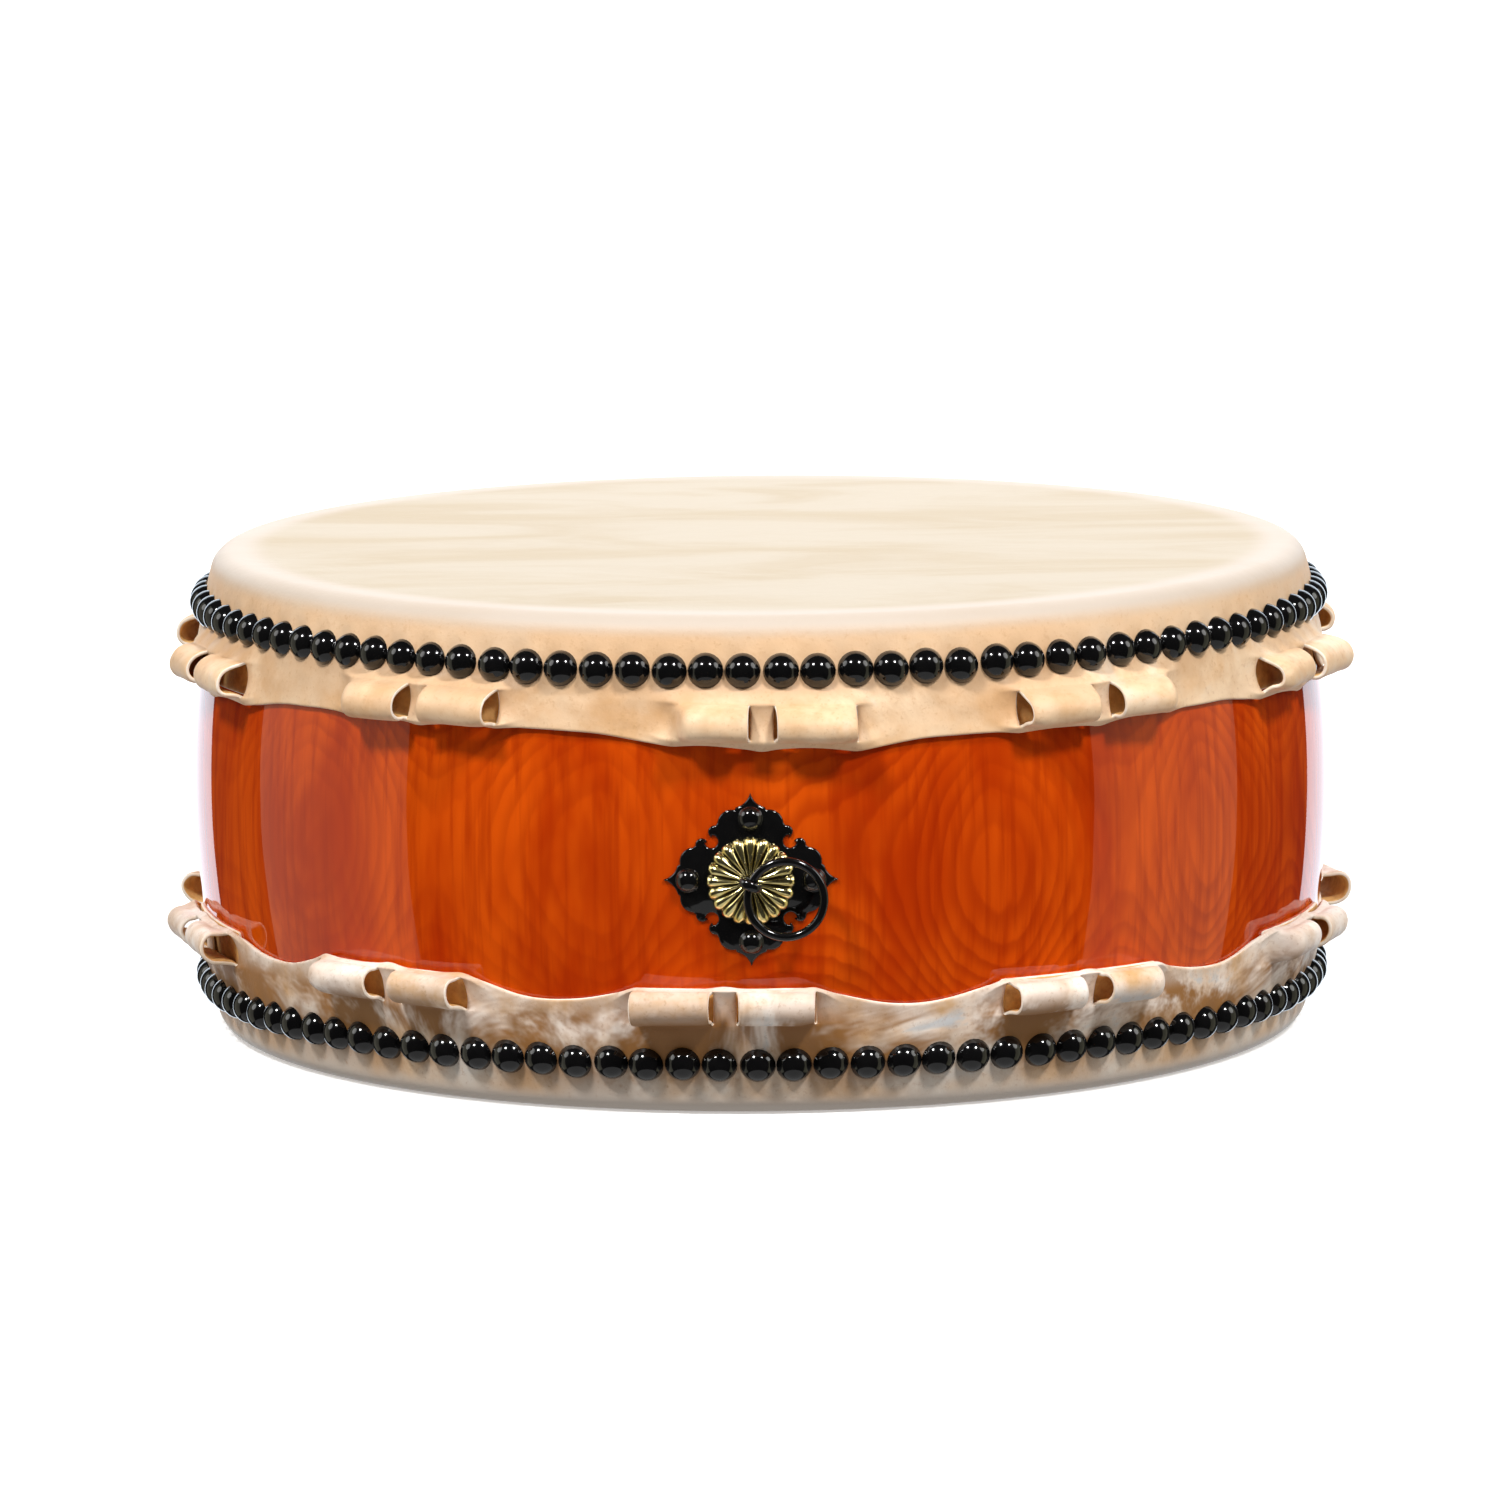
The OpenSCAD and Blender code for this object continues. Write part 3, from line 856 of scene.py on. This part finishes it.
def plate(side, label, material):
    """Sheet iron beaten to the barrel's curve, with a rounded edge."""
    bm = bmesh.new()
    scale = PLATE_SPAN / (2 * LOBE_TIP)
    outline = [Vector((x * scale, y * scale, 0)) for x, y in plate_outline()]
    rings = []
    for shrink, lift in ((0.0, 0.1 * MM), (0.0, 0.6 * MM), (0.3 * MM, 1.1 * MM), (0.8 * MM, PLATE_T)):
        ring = []
        for i, p in enumerate(outline):
            run = outline[(i + 1) % len(outline)] - outline[i - 1]
            inward = Vector((run.y, -run.x, 0)).normalized()
            ring.append(bm.verts.new(p + inward * shrink + Vector((0, 0, lift))))
        rings.append(ring)
    join_rings(bm, rings)
    flat = [v.co.to_2d() for v in rings[-1]]
    spots, _, triangles = geometry.delaunay_2d_cdt(flat, [], [list(range(len(flat)))], 1, NO_SIZE)[:3]
    top = [bm.verts.new((p.x, p.y, PLATE_T)) for p in spots]
    for corners in triangles:
        bm.faces.new([top[i] for i in corners])
    bmesh.ops.remove_doubles(bm, verts=bm.verts, dist=SAME_PLACE)
    bmesh.ops.recalc_face_normals(bm, faces=bm.faces)
    bend_to_barrel(bm, side)
    return add_piece(label + "_ornament", bm, "drum", "black_plate", [material], label + "_plate")


def bend_to_barrel(bm, side):
    """Wraps a flat shape, drawn as seen from outside, on to the wood at a handle."""
    turn = Matrix.Rotation(math.radians(side), 4, "Z")
    for v in bm.verts:
        z = HANDLE_Z - HALF_H + v.co.y
        r = wood_r(z) + v.co.z
        a = v.co.x / MID_R
        v.co = turn @ Vector((r * math.sin(a), -r * math.cos(a), HALF_H + z))


# The boss from its rim inwards: (share of its radius, height over the plate in mm)
BOSS_ROWS = (
    (0.99, 0.1), (1.0, 1.2), (1.0, 2.2), (0.96, 3.2), (0.9, 4.1), (0.82, 4.7),
    (0.7, 5.2), (0.56, 5.4), (0.42, 5.3), (0.3, 5.0), (0.2, 4.6), (0.14, 4.0),
)


def rosette(side, label, material):
    """A chrysanthemum boss: round-ended petals with a groove between each two."""
    bm = bmesh.new()
    steps = PETALS * 12
    rings = []
    for share, height in BOSS_ROWS:
        ring = []
        for i in range(steps):
            a = TAU * i / steps
            swell = abs(math.cos(a * PETALS / 2))
            depth = 1.5 * smooth((share - 0.12) / 0.3) * (1 - swell) * smooth(height / 2)
            r = ROSETTE_R * share * (1 - 0.055 * smooth((share - 0.7) / 0.3) * (1 - swell**0.6))
            ring.append(bm.verts.new((r * math.cos(a), r * math.sin(a), (height - depth) * MM + PLATE_T)))
        rings.append(ring)
    join_rings(bm, rings)
    bmesh.ops.transform(bm, matrix=handle_matrix(side), verts=bm.verts)
    return add_piece(label + "_boss", bm, "drum", "gilt_brass", [material], label + "_rosette")


def ring_matrix(side):
    """+X runs from the pin's eye to the centre of the hanging ring."""
    lift = Matrix.Translation((0, 0, -EYE_Y - MID_R))
    return handle_matrix(side) @ lift @ Matrix.Rotation(-RING_LEAN, 4, "Z")


def sweep(bm, path, section, matrix):
    """Sweeps a section along a path in the XZ plane. A section point is (outward, across)."""
    rings = []
    for i, (x, z) in enumerate(path):
        x0, z0 = path[max(i - 1, 0)]
        x1, z1 = path[min(i + 1, len(path) - 1)]
        run = Vector((x1 - x0, 0, z1 - z0)).normalized()
        out = Vector((run.z, 0, -run.x))
        spots = [Vector((x, 0, z)) + out * u + Vector((0, v, 0)) for u, v in section]
        rings.append([bm.verts.new(matrix @ spot) for spot in spots])
    join_rings(bm, rings)
    bm.faces.new(rings[0][::-1])
    bm.faces.new(rings[-1])


def split_pin(side, label, material):
    """A half-round bar bent into an eye, its legs clenched apart inside the wall."""
    mid = (EYE_R + EYE_HOLE_R) / 2
    leg_x = 1.3 * MM
    foot_z = EYE_Y + MID_R - WALL - WASHER_STACK - LEG_T / 2
    open_a = math.degrees(math.asin(leg_x / mid))
    loop = arc(0, 0, mid, -90 + open_a, 270 - open_a, 30)
    bend = 2.5 * MM
    elbow = arc(leg_x + bend, foot_z + bend, bend, 270, 180, 5)
    right = [(FOOT, foot_z)] + elbow + [(leg_x, foot_z + 8 * MM), (leg_x, -mid - 4 * MM)]
    left = [(-x, z) for x, z in reversed(right)]
    half_t = (EYE_R - EYE_HOLE_R) / 2
    section = []
    for i in range(14):
        a = TAU * i / 14
        flatten = 1.0 if math.cos(a) > 0 else 0.8
        section.append((half_t * math.cos(a) * flatten, EYE_W / 2 * math.sin(a)))
    bm = bmesh.new()
    sweep(bm, right + loop + left, section, ring_matrix(side))
    bmesh.ops.recalc_face_normals(bm, faces=bm.faces)
    body = label + "_pin"
    return add_piece(label + "_eye_pin", bm, body, "black_iron", [material], label + "_split_pin")


def ring(side, label, material):
    """A ring of forged wire, a little uneven in thickness."""
    bm = bmesh.new()
    around, across = 120, 28
    matrix = ring_matrix(side) @ Matrix.Translation((RING_R, 0, 0))
    rings = []
    for i in range(around):
        a = TAU * i / around
        thick = WIRE_R * (1 - 0.03 * noise.noise(Vector((math.cos(a), math.sin(a), 0)) * 3))
        section = []
        for k in range(across):
            b = TAU * k / across
            reach = RING_R + thick * math.cos(b)
            spot = Vector((reach * math.cos(a), reach * math.sin(a), thick * math.sin(b)))
            section.append(bm.verts.new(matrix @ spot))
        rings.append(section)
    join_rings(bm, rings + rings[:1])
    bmesh.ops.recalc_face_normals(bm, faces=bm.faces)
    return add_piece(label + "_hoop", bm, label + "_ring", "black_iron", [material], label + "_ring")


# ---- Stage ----

BOX_HEIGHT = 4.0
BOX_DISTANCE = 2.3
BOX_AIM = Vector((0, 0, 0.12))


def add_object(name, data):
    obj = bpy.data.objects.new(name, data)
    bpy.context.scene.collection.objects.link(obj)
    return obj


def softbox(name, azimuth, width, radiance, tint):
    """A tall panel that shows in the lacquer and casts no light on anything dull."""
    light = bpy.data.lights.new(name, "AREA")
    light.shape = "RECTANGLE"
    light.size = width
    light.size_y = BOX_HEIGHT
    light.energy = radiance * math.pi * width * BOX_HEIGHT
    light.color = tint
    obj = add_object(name, light)
    away = direction(azimuth)
    obj.location = BOX_AIM + away * BOX_DISTANCE
    obj.rotation_euler = away.to_track_quat("Z", "Y").to_euler()
    obj.visible_diffuse = False


def sun(name, azimuth, elevation, strength, width):
    """A far lamp, which lights the whole floor alike. width is its angle across, in degrees."""
    light = bpy.data.lights.new(name, "SUN")
    light.energy = strength
    light.angle = math.radians(width)
    obj = add_object(name, light)
    obj.rotation_euler = direction(azimuth, elevation).to_track_quat("Z", "Y").to_euler()
    return obj


def floor():
    """A pale floor that shows in no reflection and stops no light; the bounce lamp stands for its light."""
    bm = bmesh.new()
    bmesh.ops.create_circle(bm, cap_ends=True, segments=96, radius=14.0)
    bmesh.ops.translate(bm, vec=(0, 0, -0.2 * MM), verts=bm.verts)
    mesh = bpy.data.meshes.new("floor")
    bm.to_mesh(mesh)
    bm.free()
    obj = add_object("floor", mesh)
    s = Shader(
        "floor", Roughness=0.9, Specular_IOR_Level=0.0,
        Emission_Color=(1, 1, 1, 1), Emission_Strength=0.28
    )
    grain = s.noise(s.place(), 3.0, 2.0)
    mesh.materials.append(s.finish(Base_Color=s.mix(grain, (0.93, 0.93, 0.93, 1), (0.95, 0.95, 0.95, 1))))
    obj.visible_glossy = False
    obj.visible_diffuse = False
    obj.visible_shadow = False


def sky():
    """White behind the drum, softer as a light, and nearly dark in reflections."""
    world = bpy.data.worlds.new("studio")
    world.use_nodes = True
    bpy.context.scene.world = world
    nodes, links = world.node_tree.nodes, world.node_tree.links
    path = nodes.new("ShaderNodeLightPath")
    tone = None
    for ray, radiance in ((None, 0.22), ("Is Camera Ray", 1.0), ("Is Glossy Ray", 0.03)):
        layer = nodes.new("ShaderNodeMix")
        layer.data_type = "RGBA"
        layer.inputs["B"].default_value = (radiance, radiance, radiance, 1)
        layer.inputs[0].default_value = 1.0
        if ray:
            links.new(path.outputs[ray], layer.inputs[0])
            links.new(tone, layer.inputs["A"])
        tone = layer.outputs["Result"]
    links.new(tone, nodes["Background"].inputs["Color"])


def studio():
    """Two key lamps high in front, fill from the sides, behind and below, and panels to reflect."""
    view = bpy.context.scene.view_settings
    view.view_transform = "Standard"
    view.look = "None"
    sky()
    sun("key_left", -39, 51, 2.1, 10)
    sun("key_right", 41, 50, 2.1, 10)
    sun("side_left", -82, 30, 0.55, 30)
    sun("side_right", 84, 30, 0.65, 30)
    sun("key_back", 180, 20, 1.5, 40).visible_glossy = False
    sun("bounce", 0, -75, 0.75, 90)
    softbox("left_box", -92, 1.86, 0.5, (1.0, 0.96, 0.74))
    softbox("right_box", 87, 1.67, 0.48, (1.0, 0.96, 0.66))
    softbox("back_wall", 180, 3.6, 1.6, (0.92, 1.03, 1.15))


def camera():
    """A long lens a little above the drum, from just right of the handle."""
    data = bpy.data.cameras.new("camera")
    data.lens = 228
    data.sensor_width = 36
    obj = add_object("camera", data)
    away = direction(1.0, 9.0)
    distance = 4.823
    centre = Vector((0, 0, HALF_H))
    place = centre + away * distance
    # The drum stands a little right of the picture's middle and below it, with a slight tilt.
    right, up, _ = away.to_track_quat("Z", "Y").to_matrix().col
    aim = centre - right * 5.2 * MM + up * 13.8 * MM
    tilt = Matrix.Rotation(math.radians(-0.51), 3, "Z")
    facing = (place - aim).to_track_quat("Z", "Y").to_matrix() @ tilt
    obj.matrix_world = Matrix.Translation(place) @ facing.to_4x4()
    data.clip_end = 60
    bpy.context.scene.camera = obj


# ---- Assembly ----

# How each ear was pulled: (turn in degrees, left end, right end), the ends in mm nearer the face
# than usual. The four that face the photograph follow it, and the others are like them.
TOP_EARS = (
    (0.0, 3.5, 0.5), (0.6, 4.5, 6.3), (-3.0, 3.2, 2.5), (0.8, 2.0, 3.5), (-0.6, 4.0, 1.5),
    (0.4, 1.0, 3.0), (-1.0, 5.0, 4.0), (0.9, 3.0, 1.0), (0.0, 2.0, 3.0), (-1.2, 8.5, 9.0),
)
BOTTOM_EARS = (
    (-0.8, 0.3, 0.0), (-0.6, 1.2, 2.0), (0.0, -1.0, -1.0), (0.7, 0.5, 1.5), (-0.5, 1.0, -0.5),
    (0.3, 0.0, 1.0), (-0.9, 1.5, 0.5), (0.6, -0.5, -1.0), (0.0, -1.5, -1.0), (0.4, -2.0, -2.0),
)
TOP = Head(
    "top_head", up=1, roll_depth=51 * MM, rim_depth=65 * MM, scallop=3.5 * MM, stand=5 * MM, curl=64,
    phase=1.2, drift=-2.2, ears=TOP_EARS, seed=3
)
BOTTOM = Head(
    "bottom_head", up=-1, roll_depth=55 * MM, rim_depth=65 * MM, scallop=10.5 * MM, stand=1.8 * MM, curl=92,
    phase=-1.8, drift=0.4, ears=BOTTOM_EARS, seed=8
)

# Which ends are stretched shut on the ears that face the photograph's camera
for ear, shut_left, shut_right in ((8, True, False), (9, True, False), (0, True, False), (1, False, True)):
    TOP.loops[ear][0].closed, TOP.loops[ear][1].closed = shut_left, shut_right

camera()
studio()
floor()

wood = lacquered_wood()
tack_black = black_gloss("black_tacks", 0.1, 0.15 * MM)
plate_black = black_gloss("black_plate", 0.12, 0.12 * MM)
iron_black = black_gloss("black_iron", 0.16, 0.1 * MM)
brass = gilt_brass()
steel = dull_steel()
top_hide = rawhide(
    "top_rawhide", face=colour(194, 178, 154), worn=colour(183, 160, 123), skirt=colour(231, 196, 158),
    ear=colour(250, 218, 180), tan=colour(232, 184, 132), dirt=colour(196, 144, 94),
    bleached=colour(240, 226, 210), amount=0.35
)
bottom_hide = rawhide(
    "bottom_rawhide", face=colour(206, 196, 184), worn=colour(196, 184, 168), skirt=colour(224, 210, 194),
    ear=colour(255, 240, 226), tan=colour(216, 168, 112), dirt=colour(158, 106, 50),
    bleached=colour(206, 204, 202), amount=1.0
)
flesh = cut_hide("flesh_side", colour(238, 192, 122), colour(200, 146, 84))
edge = cut_hide("cut_edge", colour(254, 242, 226), colour(244, 220, 190))

wood_shell(wood)
hide("top_hide", TOP, "top_rawhide", [top_hide, flesh, edge])
hide("bottom_hide", BOTTOM, "bottom_rawhide", [bottom_hide, flesh, edge])
tack_row("top_domes", TACK_Z, -0.6, 21, tack_black, "top_tacks")
tack_row("bottom_domes", -TACK_Z, 0.4, 22, tack_black, "bottom_tacks")
for side, label in ((0, "front"), (180, "back")):
    plate(side, label, plate_black)
    plate_tacks(side, label, tack_black)
    rosette(side, label, brass)
    split_pin(side, label, iron_black)
    ring(side, label, iron_black)
    washer = frame["nodes"][label + "_washer"]
    washer.data.materials.clear()
    washer.data.materials.append(steel)
